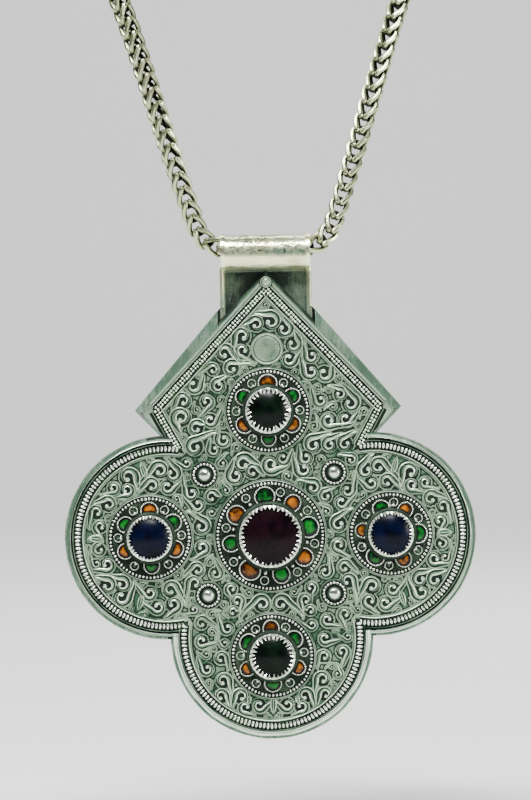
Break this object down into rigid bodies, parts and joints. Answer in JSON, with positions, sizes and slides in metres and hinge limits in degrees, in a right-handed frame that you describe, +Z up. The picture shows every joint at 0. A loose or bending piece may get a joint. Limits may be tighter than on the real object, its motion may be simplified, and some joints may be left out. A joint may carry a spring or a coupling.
{
  "type": "enamelled silver quatrefoil hamsa pendant necklace",
  "caption": "Large silver quatrefoil pendant with a pointed top, raised glass and enamel settings, hung by a tube bail on a loop-in-loop chain.",
  "frame": {"origin": "middle of the clasp, where the necklace lies on the nape", "axes": "+Z up, -Y towards the pendant's front, +X to the right as seen from the front"},
  "size_m": [0.1282, 0.1249, 0.2808],
  "materials": {
    "back_silver": "aged silver sheet, brushed, dark in the folds",
    "plate_silver": "chased silver with dark patina in the ground",
    "bail_silver": "worn silver, brown tarnish, warm edges",
    "rivet_silver": "worn silver",
    "clasp_silver": "plain worn silver",
    "chain_silver": "drawn silver wire, worn bright, dark between links",
    "boss_silver": "polished domes, dark round the beads",
    "setting_silver": "silver wire and sheet, dark patina",
    "glass_plum": "very dark plum glass cabochon",
    "glass_navy": "very dark blue glass cabochon",
    "glass_moss": "very dark green glass cabochon",
    "enamel_green": "translucent green enamel in wire cells",
    "enamel_orange": "orange enamel in wire cells"
  },
  "bodies": {
    "chain": {"clasp": "clasp_silver", "chain_right": "chain_silver", "chain_left": "chain_silver"},
    "pendant": {"back_shell": "back_silver", "front_plate": "plate_silver", "bail": "bail_silver", "apex_rivet": "rivet_silver", "boss_1": "boss_silver", "boss_2": "boss_silver", "boss_3": "boss_silver", "boss_4": "boss_silver", "setting_centre": "setting_silver", "setting_top": "setting_silver", "setting_left": "setting_silver", "setting_right": "setting_silver", "setting_bottom": "setting_silver", "glass_centre": "glass_plum", "glass_top": "glass_moss", "glass_left": "glass_navy", "glass_right": "glass_navy", "glass_bottom": "glass_moss", "enamel_centre_1": "enamel_green", "enamel_centre_2": "enamel_orange", "enamel_centre_3": "enamel_green", "enamel_centre_4": "enamel_orange", "enamel_centre_5": "enamel_green", "enamel_centre_6": "enamel_orange", "enamel_centre_7": "enamel_green", "enamel_centre_8": "enamel_orange", "enamel_top_1": "enamel_orange", "enamel_top_2": "enamel_green", "enamel_top_3": "enamel_orange", "enamel_top_4": "enamel_green", "enamel_top_5": "enamel_orange", "enamel_top_6": "enamel_green", "enamel_left_1": "enamel_orange", "enamel_left_2": "enamel_green", "enamel_left_3": "enamel_orange", "enamel_left_4": "enamel_green", "enamel_left_5": "enamel_orange", "enamel_left_6": "enamel_green", "enamel_right_1": "enamel_green", "enamel_right_2": "enamel_orange", "enamel_right_3": "enamel_green", "enamel_right_4": "enamel_orange", "enamel_right_5": "enamel_green", "enamel_right_6": "enamel_orange", "enamel_bottom_1": "enamel_orange", "enamel_bottom_2": "enamel_green", "enamel_bottom_3": "enamel_orange", "enamel_bottom_4": "enamel_green", "enamel_bottom_5": "enamel_orange", "enamel_bottom_6": "enamel_green"}
  },
  "joints": [
    {"name": "pendant_swing", "type": "hinge", "parent": "chain", "child": "pendant", "pos_m": [0, -0.116, -0.147], "axis": [1, 0, 0], "range_deg": [-80, 80]}
  ]
}
